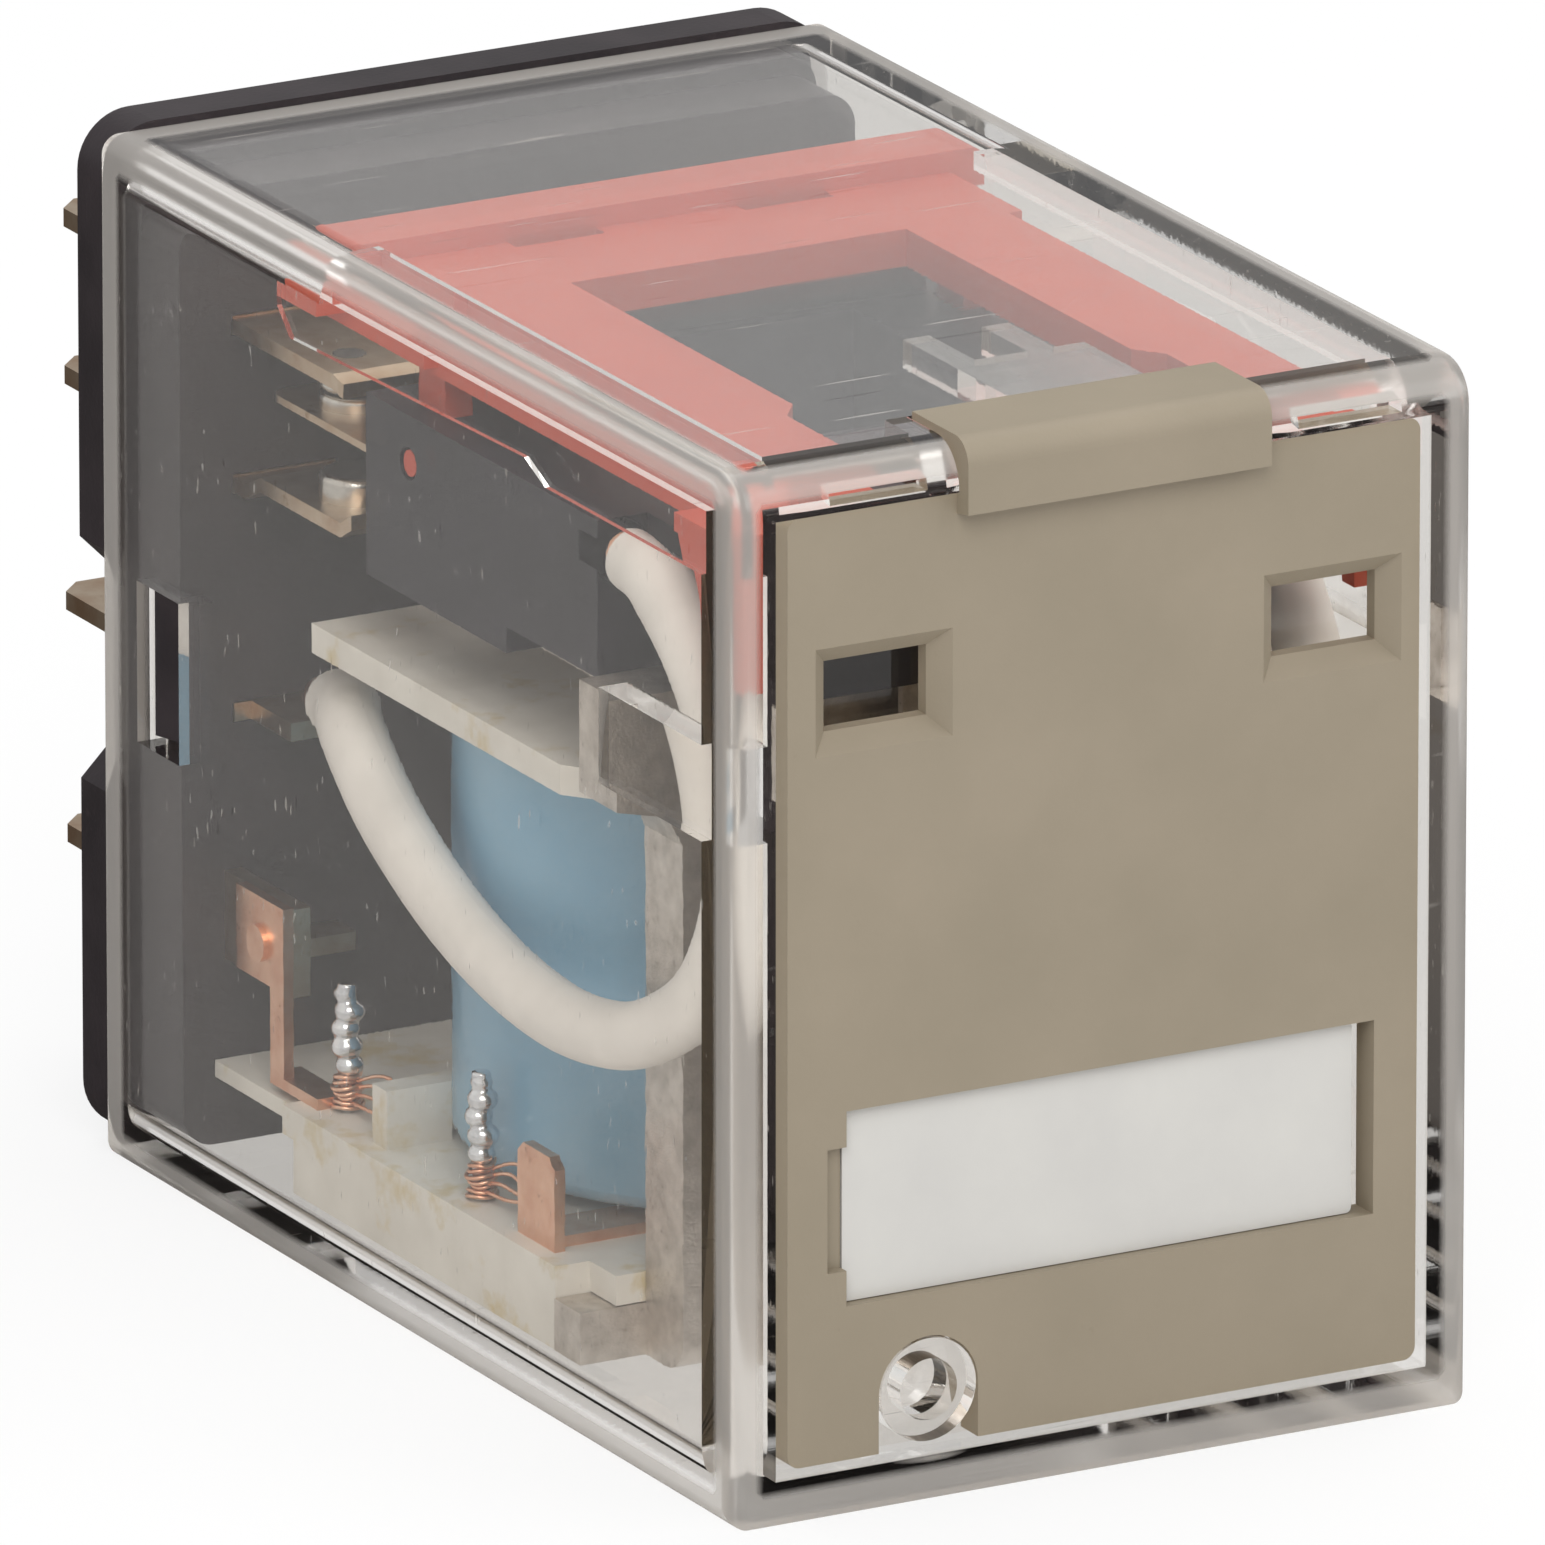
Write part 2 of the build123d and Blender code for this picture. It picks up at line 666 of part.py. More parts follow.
def make_hinge_spring():
    """Leaf spring on the front of the yoke that holds the tail of the armature down."""
    half = hinge_spring_width / 2
    face = yoke_front - hinge_spring_thickness
    top = armature_top + 0.25
    leaf = block(-half, half, face, yoke_front, hinge_level - 8.0, hinge_level - 0.6)
    leaf += side_prism([
        (yoke_front, hinge_level - 0.7), (face, hinge_level - 0.7), (face - 0.7, hinge_level + 0.4),
        (face - 0.7, top), (yoke_rear - 0.4, top), (yoke_rear - 0.4, top + hinge_spring_thickness),
        (face - 0.95, top + hinge_spring_thickness), (face - 0.95, hinge_level + 0.3),
        (face, hinge_level - 1.1)], -half, half)
    leaf -= bar_along_y(0, hinge_level - 6.0, face - 1, yoke_front + 1, 0.75)
    return leaf


def make_spring_rivet():
    head = bar_along_y(0, hinge_level - 6.0, yoke_front - hinge_spring_thickness - 0.5,
                       yoke_front - hinge_spring_thickness, 1.3)
    return head + bar_along_y(0, hinge_level - 6.0, yoke_front - hinge_spring_thickness, yoke_front, 0.75)


def make_carrier():
    """Moulded block that joins the armature, both movable springs and the indicator frame."""
    hinge_room = yoke_rear + 0.5
    body = block(-carrier_half, carrier_half, hinge_room, carrier_rear, carrier_bottom, carrier_top)
    skirt = block(armature_tail_half_width, carrier_half, carrier_skirt_front, carrier_rear,
                  carrier_skirt_bottom, carrier_bottom)
    body += both(skirt)
    body += block(-carrier_nose_half_width, carrier_nose_half_width, carrier_nose_front, hinge_room,
                  carrier_nose_bottom, carrier_top)
    body = chamfer(edges_at(body, Axis.X, y=carrier_nose_front, z=carrier_top), 0.8)
    body += block(-armature_tail_half_width, armature_tail_half_width, hinge_room + 0.1,
                  armature_end - 1.8, armature_top, carrier_bottom)

    # Open middle, the rear wall under the frame, and what the springs and pegs need.
    body -= block(-frame_opening_half_width + 0.6, frame_opening_half_width - 0.6, hinge_room + 1.6,
                  carrier_rear - 1.6, carrier_bottom + 0.8, carrier_top + 1)
    body += block(-armature_tail_half_width, armature_tail_half_width, carrier_rear - 1.1, carrier_rear,
                  carrier_top - 0.1, frame_bottom)
    spring_front = carrier_nose_front + 9.0
    spring_slot = block(pole_x - blade_width / 2, pole_x + blade_width / 2, spring_front,
                        carrier_rear + 1, movable_level - spring_thickness / 2,
                        movable_level + spring_thickness / 2)
    leg_pocket = block(carrier_half - 1.75 - peg_clearance, carrier_half - 0.9, peg_y - 0.7 - peg_clearance,
                       peg_y + 0.7 + peg_clearance, movable_level + spring_thickness / 2,
                       carrier_top + 1)
    peg_hole = bar_along_x(peg_y, peg_z, carrier_half - 1.0, carrier_half + 1, peg_radius + 0.05)
    braid_hole = bar_along_y(pole_x + 1.1, carrier_top - 0.9, hinge_room - 1, hinge_room + 1.0,
                             braid_radius + 0.35)
    body -= both(spring_slot + leg_pocket + peg_hole + braid_hole)
    return body


def make_indicator_frame():
    """Red frame under the case top, clipped to the carrier, that shows where the armature is."""
    front = front_inside + frame_front_gap
    rear_half = frame_half_width
    arm_half = frame_arm_half_width
    open_half = frame_opening_half_width
    plate = block(-rear_half, rear_half, frame_bar_front, frame_rear, frame_bottom, frame_top)
    arm_outline = [
        (open_half, frame_bar_front), (open_half, front + 5.0),
        (open_half + frame_opening_widening, front + 4.2), (open_half + frame_opening_widening, front),
        (arm_half, front), (arm_half, frame_bar_front)]
    plate += both(plan_prism(arm_outline, frame_bottom, frame_top))
    window_half = frame_window / 2
    window = block(frame_window_x - 1.3, frame_window_x + 1.3, frame_window_y - window_half,
                   frame_window_y + window_half, frame_bottom - 1, frame_top + 1)
    plate -= both(window)

    # The raised bar across the rear, nearly as wide as the case inside.
    bar_half = inner_half - thick_band - frame_cross_bar_end_gap
    bar = block(-bar_half, bar_half, frame_rear - frame_cross_bar_depth, frame_rear, frame_bottom + 0.5,
                ceiling - frame_cross_bar_headroom)
    plate += fillet(bar.edges().filter_by(Axis.Y).group_by(Axis.Z)[-1], 0.4)

    # Skirts along both arms, front legs, and the inner legs with their pegs.
    skirt = block(arm_half - 0.7, arm_half, front, carrier_rear, frame_bottom - frame_skirt, frame_bottom)
    leg_outer = inner_half - thick_band - 0.25
    leg_inner = leg_outer - 0.8
    shoulder_top = ceiling - corner_rail_height - (hinge_y - front) * sin(radians(armature_travel)) - 0.2
    shoulder = block(arm_half - 0.7, leg_outer, front, front + frame_leg_depth + 0.9, frame_bottom,
                     shoulder_top)
    leg = side_prism([
        (front, shoulder_top), (front + frame_leg_depth + 0.9, shoulder_top),
        (front + frame_leg_depth, frame_leg_bottom + 2.0), (front + frame_leg_depth * 0.7, frame_leg_bottom),
        (front, frame_leg_bottom)], leg_inner, leg_outer)
    peg_leg = block(carrier_half - 1.75, carrier_half - 0.95, peg_y - 0.7, peg_y + 0.7, peg_z - 0.35,
                    frame_bottom)
    peg = bar_along_x(peg_y, peg_z, carrier_half - 1.0, carrier_half - 0.05, peg_radius - 0.05)
    return plate + both(skirt + shoulder + leg + peg_leg + peg)


def pigtail_route():
    """Points of the left pigtail, from the carrier, down behind the front and back to the base."""
    side = -sleeve_x
    corner = -(inner_half - stop_block_depth - sleeve_radius - 0.1)
    rear = base_front - 30.7
    return [
        (-(pole_x + 1.1) - 0.25, 9.6, carrier_top - 0.75),
        (-(pole_x + 1.1) - 0.35, 7.9, 22.95 + carrier_top - 23.8),
        (corner - 0.05, 5.5, 21.45),
        (corner, 3.75, 18.9),
        (corner, 3.35, 15.6),
        (corner - 0.25, 4.6, 12.6),
        (side, 7.4, 10.75),
        (side, 11.0, 10.05),
        (side, 14.6, 10.35),
        (side, 18.0 + rear / 2, 11.3),
        (side, 21.2 + rear, 12.9),
        (side + 0.45, 24.0 + rear, 14.35),
        (-pole_x - 0.55, 26.2 + rear, 14.1),
        (-pole_x, base_front - lug_length + 0.1, com_level + blade_thickness / 2 + braid_radius),
    ]


def tube_path(points):
    """Straight runs joined by arcs as large as the runs allow."""
    radii = []
    for before, corner, after in zip(points, points[1:], points[2:]):
        first = Vector(*corner) - Vector(*before)
        second = Vector(*after) - Vector(*corner)
        turn = radians(first.get_angle(second))
        run = min(first.length, second.length)
        radii.append(0.45 * run / tan(turn / 2))
    return FilletPolyline(*points, radius=radii), radii


def swept_tube(path, radius, bore=0.0):
    """A round tube along a path."""
    start = Plane(origin=path @ 0, z_dir=path % 0)
    section = start * Circle(radius)
    tube = sweep(section, path=path)
    if bore:
        tube -= sweep(start * Circle(bore), path=path)
    return tube


def make_pigtail():
    path, radii = tube_path(pigtail_route())
    print("pigtail radii", [round(radius, 2) for radius in radii])
    braid = swept_tube(path, braid_radius)
    print("pigtail length", round(path.length, 2), "volume ratio",
          round(braid.volume / (pi * braid_radius ** 2 * path.length), 4))
    return braid


def make_sleeve():
    """Insulating sleeve over the middle of the pigtail, on the same route."""
    points = pigtail_route()
    first, second = Vector(*points[0]), Vector(*points[1])
    points[0] = tuple(second + (first - second) * 0.62)
    last, before = Vector(*points[-1]), Vector(*points[-2])
    points[-1] = tuple(before + (last - before) * 0.4)
    path, radii = tube_path(points)
    return swept_tube(path, sleeve_radius, sleeve_bore)


os.makedirs("parts", exist_ok=True)
to_origin = Pos(0, -centre_shift, 0)


def save(name, shape):
    export_step(to_origin * shape, "parts/" + name + ".step")


single_parts = {
    "case": make_case,
    "front_plate": make_front_plate,
    "name_tag": make_name_tag,
    "base": make_base,
    "yoke": make_yoke,
    "core": make_core,
    "bobbin": make_bobbin,
    "coil_winding": make_winding,
    "coil_pins": make_coil_pins,
    "coil_lead_rear": make_lead_rear,
    "coil_lead_front": make_lead_front,
    "armature": make_armature,
    "hinge_spring": make_hinge_spring,
    "hinge_spring_rivet": make_spring_rivet,
    "carrier": make_carrier,
    "indicator_frame": make_indicator_frame,
}
for name, maker in single_parts.items():
    save(name, maker())

# Parts of each pole, made for the right one and mirrored for the left.
pole_parts = {
    "terminal_nc": make_terminal_nc,
    "terminal_no": make_terminal_no,
    "terminal_com": make_terminal_com,
    "terminal_coil": make_terminal_coil,
    "contact_nc": make_contact_nc,
    "contact_no": make_contact_no,
    "movable_spring": make_movable_spring,
    "movable_contact": make_movable_contact,
}
for name, maker in pole_parts.items():
    shape = maker()
    save(name + "_right", shape)
    save(name + "_left", mirrored(shape))

# The route of the pigtails is given for the left pole.
for name, maker in (("pigtail", make_pigtail), ("sleeve", make_sleeve)):
    shape = maker()
    save(name + "_left", shape)
    save(name + "_right", mirrored(shape))
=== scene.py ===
import math

import bpy
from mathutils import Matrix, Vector


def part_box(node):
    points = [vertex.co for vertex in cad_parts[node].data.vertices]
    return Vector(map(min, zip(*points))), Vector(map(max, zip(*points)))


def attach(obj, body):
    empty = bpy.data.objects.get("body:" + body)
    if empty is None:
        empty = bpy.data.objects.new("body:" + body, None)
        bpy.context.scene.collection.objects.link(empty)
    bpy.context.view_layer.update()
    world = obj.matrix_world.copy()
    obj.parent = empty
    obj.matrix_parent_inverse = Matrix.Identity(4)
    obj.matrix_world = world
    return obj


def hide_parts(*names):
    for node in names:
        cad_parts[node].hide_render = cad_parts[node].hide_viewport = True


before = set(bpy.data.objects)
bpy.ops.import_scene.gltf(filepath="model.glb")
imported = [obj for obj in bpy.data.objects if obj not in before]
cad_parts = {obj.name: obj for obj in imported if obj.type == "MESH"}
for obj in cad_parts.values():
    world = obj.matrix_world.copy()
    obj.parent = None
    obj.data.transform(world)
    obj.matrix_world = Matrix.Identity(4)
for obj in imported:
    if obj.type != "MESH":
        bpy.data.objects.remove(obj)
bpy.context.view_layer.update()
mm = 0.001
bpy.ops.object.select_all(action="DESELECT")


def linearColour(hexText):
    # sRGB hex text to the linear values that the nodes take
    values = [int(hexText[i:i + 2], 16) / 255 for i in (1, 3, 5)]
    return [v / 12.92 if v <= 0.04045 else ((v + 0.055) / 1.055) ** 2.4 for v in values] + [1.0]


def addNode(material, kind, values=None, links=None, stops=None, **settings):
    # adds one node with its socket values, its links, its colour stops and its properties
    node = material.node_tree.nodes.new(kind)
    for name, value in settings.items():
        setattr(node, name, value)
    for name, value in (values or {}).items():
        node.inputs[name].default_value = value
    for name, source in (links or {}).items():
        material.node_tree.links.new(source, node.inputs[name])
    for place, (position, colour) in enumerate(stops or []):
        elements = node.color_ramp.elements
        element = elements[place] if place < 2 else elements.new(position)
        element.position, element.color = position, linearColour(colour)
    return node


def startMaterial(name):
    material = bpy.data.materials.new(name)
    material.use_nodes = True
    material.node_tree.nodes.clear()
    return material


def paint(node, material):
    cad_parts[node].data.materials.clear()
    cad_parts[node].data.materials.append(material)


def settle(piece, name, material):
    # puts the piece's place into its mesh, names it, and lets it ride on the fixed body
    bpy.ops.object.select_all(action="DESELECT")
    piece.select_set(True)
    bpy.context.view_layer.objects.active = piece
    bpy.ops.object.transform_apply(location=True, rotation=True, scale=True)
    piece.name = name
    piece.data.materials.clear()
    piece.data.materials.append(material)
    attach(piece, "root")
    return piece


# moulded plastics: a fine spark-eroded grain, and a slow drift of tone where the melt flowed;
# marks are stains, dust or flux specks, where "share" of the surface is covered in spots "size" mm wide
plastics = {
    # ABS from a spark-eroded tool: an even, soft sheen
    "khakiAbs": {"dark": "#948976", "light": "#9B8F7C", "roughness": 0.55, "grain": 0.12, "depth": 0.010,
                 "patch": 5.0, "marks": "#877C6A", "share": 0.30, "size": 0.8, "nodes": ["front_plate"]},
    # calendered PVC card: flat and nearly without grain, for writing on
    "whitePvcTag": {"dark": "#CBC9C5", "light": "#D1CFCA", "roughness": 0.45, "grain": 0.1, "depth": 0.003,
                    "patch": 3.0, "marks": "#C5C2BB", "share": 0.30, "size": 1.2, "nodes": ["name_tag"]},
    # compression moulded phenolic: black with a brown cast, cloudy, dull
    "blackPhenolic": {"dark": "#292427", "light": "#373033", "roughness": 0.42, "grain": 0.15,
                      "depth": 0.012, "patch": 3.0, "marks": "#463B3E", "share": 0.34, "size": 1.5,
                      "specular": 0.3,
                      "nodes": ["base"]},
    # moulded PBT: black with a blue cast, a satin face
    "blackPbt": {"dark": "#1F1D24", "light": "#2A2730", "roughness": 0.38, "grain": 0.15, "depth": 0.008,
                 "patch": 2.5, "marks": "#3A3742", "share": 0.33, "size": 1.0, "specular": 0.25,
                 "nodes": ["carrier"]},
    # moulded PBT with a dense red pigment
    "redPbt": {"dark": "#BE4832", "light": "#C8533A", "roughness": 0.45, "grain": 0.2, "depth": 0.005,
               "patch": 4.0, "marks": "#A83F2B", "share": 0.32, "size": 0.7, "nodes": ["indicator_frame"]},
    # moulded nylon without pigment: warm white, with soft stains of old flux
    "naturalNylon": {"dark": "#D6D2CA", "light": "#E6E3DC", "roughness": 0.4, "grain": 0.3, "depth": 0.006,
                     "patch": 2.0, "marks": "#CDBC92", "share": 0.44, "size": 2.4, "nodes": ["bobbin"]},
    # wound polyester tape: glossy film that follows the wire below in slow waves
    "bluePolyesterTape": {"dark": "#76A6C4", "light": "#8CB6D0", "roughness": 0.22, "grain": 0.8,
                          "depth": 0.01, "patch": 6.0, "marks": "#6D9BB9", "share": 0.32, "size": 3.0,
                          "nodes": ["coil_winding"]},
    # extruded silicone sleeve: waxy white that picks up a few dark smudges
    "whiteSilicone": {"dark": "#DEDAD5", "light": "#ECE8E3", "roughness": 0.5, "grain": 0.3,
                      "depth": 0.004, "patch": 2.0, "marks": "#8C8580", "share": 0.27, "size": 0.5,
                      "nodes": ["sleeve_left", "sleeve_right"]},
}
# metals: tone patches from the plating bath, a grain from the rolls, and tarnish as marks
metals = {
    # stamped steel, barrel plated with zinc: pale, patchy and sparkling
    "zincPlatedSteel": {"dark": "#B8AEA4", "light": "#E0D8CF", "roughness": 0.42, "grain": 0.11,
                        "depth": 0.05, "patch": 0.7, "marks": "#988D83", "share": 0.37, "size": 0.35,
                        "nodes": ["yoke", "core", "armature", "hinge_spring", "hinge_spring_rivet"]},
    # stamped or drawn copper: bright and pink where fresh, brown where it has aged
    "bareCopper": {"dark": "#DCA283", "light": "#F0C3A6", "roughness": 0.30, "grain": 0.1, "depth": 0.006,
                   "patch": 0.8, "marks": "#9C6244", "share": 0.36, "size": 0.6,
                   "nodes": ["coil_lead_rear", "coil_lead_front", "pigtail_left", "pigtail_right"]},
    # stamped brass under a thin plating: pale gold, yellower where it is worn
    "platedBrass": {"dark": "#C3A384", "light": "#DCC9B0", "roughness": 0.30, "grain": 0.1, "depth": 0.005,
                    "patch": 1.0, "marks": "#A47F55", "share": 0.38, "size": 0.9,
                    "nodes": ["terminal_nc_left", "terminal_nc_right", "terminal_no_left",
                              "terminal_no_right", "terminal_com_left", "terminal_com_right",
                              "terminal_coil_left", "terminal_coil_right", "movable_spring_left",
                              "movable_spring_right"]},
    # headed silver rivet: bright, with grey sulphide spots
    "silverContact": {"dark": "#B9B5AE", "light": "#D6D3CC", "roughness": 0.25, "grain": 0.1,
                      "depth": 0.005, "patch": 0.6, "marks": "#8E857A", "share": 0.36, "size": 0.4,
                      "nodes": ["contact_nc_left", "contact_nc_right", "contact_no_left",
                                "contact_no_right", "movable_contact_left", "movable_contact_right"]},
    # tin solder, set from liquid: a bright skin with small dull patches
    "tinSolder": {"dark": "#C2C3C6", "light": "#ECEDEF", "roughness": 0.12, "grain": 0.3, "depth": 0.02,
                  "patch": 0.5, "marks": "#8D8C8C", "share": 0.36, "size": 0.3, "nodes": ["coil_pins"]},
}
# noise settings that all these finishes share
finishBasics = {"patchDetail": 4.0, "patchRoughness": 0.55, "darkAt": 0.3, "lightAt": 0.7, "markDetail": 5.0,
                "markRoughness": 0.65, "markFade": 0.14, "grainDetail": 2.0, "grainStrength": 0.5,
                "specular": 0.5}
finishes = {}
for group, metallic in ((plastics, 0.0), (metals, 1.0)):
    for name, values in group.items():
        material = startMaterial(name)
        coords = addNode(material, "ShaderNodeTexCoord")
        patches = addNode(material, "ShaderNodeTexNoise",
                          {"Scale": 1 / (values["patch"] * mm), "Detail": finishBasics["patchDetail"],
                           "Roughness": finishBasics["patchRoughness"]},
                          {"Vector": coords.outputs["Object"]})
        tone = addNode(material, "ShaderNodeValToRGB", {}, {"Fac": patches.outputs["Fac"]},
                       [(finishBasics["darkAt"], values["dark"]), (finishBasics["lightAt"], values["light"])])
        spots = addNode(material, "ShaderNodeTexNoise",
                        {"Scale": 1 / (values["size"] * mm), "Detail": finishBasics["markDetail"],
                         "Roughness": finishBasics["markRoughness"]},
                        {"Vector": coords.outputs["Object"]})
        cover = addNode(material, "ShaderNodeMapRange",
                        {"From Min": values["share"], "From Max": values["share"] - finishBasics["markFade"]},
                        {"Value": spots.outputs["Fac"]})
        # sockets 6 and 7 and output 2 of this node are its two colours and their mix
        stained = addNode(material, "ShaderNodeMix", {7: linearColour(values["marks"])},
                          {0: cover.outputs["Result"], 6: tone.outputs["Color"]}, data_type="RGBA")
        grain = addNode(material, "ShaderNodeTexNoise",
                        {"Scale": 1 / (values["grain"] * mm), "Detail": finishBasics["grainDetail"]},
                        {"Vector": coords.outputs["Object"]})
        bump = addNode(material, "ShaderNodeBump",
                       {"Strength": finishBasics["grainStrength"], "Distance": values["depth"] * mm},
                       {"Height": grain.outputs["Fac"]})
        shader = addNode(material, "ShaderNodeBsdfPrincipled",
                         {"Roughness": values["roughness"], "Metallic": metallic,
                          "Specular IOR Level": values.get("specular", finishBasics["specular"])},
                         {"Base Color": stained.outputs[2], "Normal": bump.outputs["Normal"]})
        addNode(material, "ShaderNodeOutputMaterial", {}, {"Surface": shader.outputs["BSDF"]})
        finishes[name] = material
        for node in values["nodes"]:
            paint(node, material)
print("plastics and metals done")

# clear case: polycarbonate moulded in a polished tool, clear and refracting with a faint warm tint,
# hair scratches from handling, and worn, slightly milky edges that catch the light
clearCase = {"tint": "#FCFAF7", "roughness": 0.02, "edgeRoughness": 0.22, "ior": 1.585, "deepest": 10,
             "edgeMilk": 0.42, "milk": "#D9D3CC", "milkRoughness": 0.5, "edgeWidth": 0.95, "edgeFade": 0.25,
             "scratchMilk": 0.35, "scratchPitch": 2 / 3, "scratchStretch": (0.15, 3.0, 1.0),
             "scratchTurn": (0.3, 0.5, 0.6), "scratchStrength": 0.05, "scratchDepth": 0.01,
             "scratchFrom": 0.74, "scratchTo": 0.80}
lowest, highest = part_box("case")
middle = (lowest + highest) / 2
halfSize = (highest - lowest) / 2
clear = startMaterial("polishedPolycarbonate")
coords = addNode(clear, "ShaderNodeTexCoord")
centred = addNode(clear, "ShaderNodeVectorMath", {1: middle}, {0: coords.outputs["Object"]},
                  operation="SUBTRACT")
sized = addNode(clear, "ShaderNodeVectorMath", {}, {0: centred.outputs["Vector"]}, operation="ABSOLUTE")
insideEdge = [size - clearCase["edgeWidth"] * mm for size in halfSize]
edgeIn = addNode(clear, "ShaderNodeVectorMath", {1: insideEdge}, {0: sized.outputs["Vector"]},
                 operation="SUBTRACT")
# each axis counts from 0 inside to 1 at its edge band; two of them together make an edge
near = addNode(clear, "ShaderNodeVectorMath", {"Scale": 1 / (clearCase["edgeFade"] * mm)},
               {0: edgeIn.outputs["Vector"]}, operation="SCALE")
parts = addNode(clear, "ShaderNodeSeparateXYZ", {}, {0: near.outputs["Vector"]})
clamped = [addNode(clear, "ShaderNodeClamp", {}, {"Value": parts.outputs[axis]}) for axis in range(3)]
twoEdges = addNode(clear, "ShaderNodeMath", {}, {0: clamped[0].outputs[0], 1: clamped[1].outputs[0]},
                   operation="ADD")
allEdges = addNode(clear, "ShaderNodeMath", {}, {0: twoEdges.outputs[0], 1: clamped[2].outputs[0]},
                   operation="ADD")
onEdge = addNode(clear, "ShaderNodeMath", {1: 1.0}, {0: allEdges.outputs[0]}, operation="SUBTRACT",
                 use_clamp=True)
drawn = addNode(clear, "ShaderNodeMapping",
                {"Scale": clearCase["scratchStretch"], "Rotation": clearCase["scratchTurn"]},
                {"Vector": coords.outputs["Object"]})
hairs = addNode(clear, "ShaderNodeTexNoise",
                {"Scale": 1 / (clearCase["scratchPitch"] * mm), "Detail": 1.0},
                {"Vector": drawn.outputs["Vector"]})
bump = addNode(clear, "ShaderNodeBump",
               {"Strength": clearCase["scratchStrength"], "Distance": clearCase["scratchDepth"] * mm},
               {"Height": hairs.outputs["Fac"]})
scuffed = addNode(clear, "ShaderNodeMapRange",
                  {"From Min": clearCase["scratchFrom"], "From Max": clearCase["scratchTo"],
                   "To Max": clearCase["scratchMilk"]},
                  {"Value": hairs.outputs["Fac"]})
roughness = addNode(clear, "ShaderNodeMapRange", {"To Min": clearCase["roughness"],
                    "To Max": clearCase["edgeRoughness"]}, {"Value": onEdge.outputs[0]})
glass = addNode(clear, "ShaderNodeBsdfPrincipled",
                {"Base Color": linearColour(clearCase["tint"]), "IOR": clearCase["ior"],
                 "Transmission Weight": 1.0},
                {"Normal": bump.outputs["Normal"], "Roughness": roughness.outputs["Result"]})
milk = addNode(clear, "ShaderNodeBsdfPrincipled",
               {"Base Color": linearColour(clearCase["milk"]), "Roughness": clearCase["milkRoughness"]})
milky = addNode(clear, "ShaderNodeMath", {1: clearCase["edgeMilk"]}, {0: onEdge.outputs[0]},
                operation="MULTIPLY")
milkShare = addNode(clear, "ShaderNodeMath", {}, {0: milky.outputs[0], 1: scuffed.outputs["Result"]},
                    operation="MAXIMUM")
solid = addNode(clear, "ShaderNodeMixShader", {}, {0: milkShare.outputs[0], 1: glass.outputs["BSDF"],
                2: milk.outputs["BSDF"]})
# light and shade pass straight through, and so does a ray that has met too many walls
path = addNode(clear, "ShaderNodeLightPath")
through = addNode(clear, "ShaderNodeBsdfTransparent", {"Color": linearColour(clearCase["tint"])})
lit = addNode(clear, "ShaderNodeMath", {}, {0: path.outputs["Is Shadow Ray"],
              1: path.outputs["Is Diffuse Ray"]}, operation="MAXIMUM")
deep = addNode(clear, "ShaderNodeMath", {1: clearCase["deepest"]}, {0: path.outputs["Ray Depth"]},
               operation="GREATER_THAN")
either = addNode(clear, "ShaderNodeMath", {}, {0: lit.outputs[0], 1: deep.outputs[0]}, operation="MAXIMUM")
mixed = addNode(clear, "ShaderNodeMixShader", {}, {0: either.outputs[0], 1: solid.outputs["Shader"],
                2: through.outputs["BSDF"]})
addNode(clear, "ShaderNodeOutputMaterial", {}, {"Surface": mixed.outputs["Shader"]})
paint("case", clear)
print("clear case done")

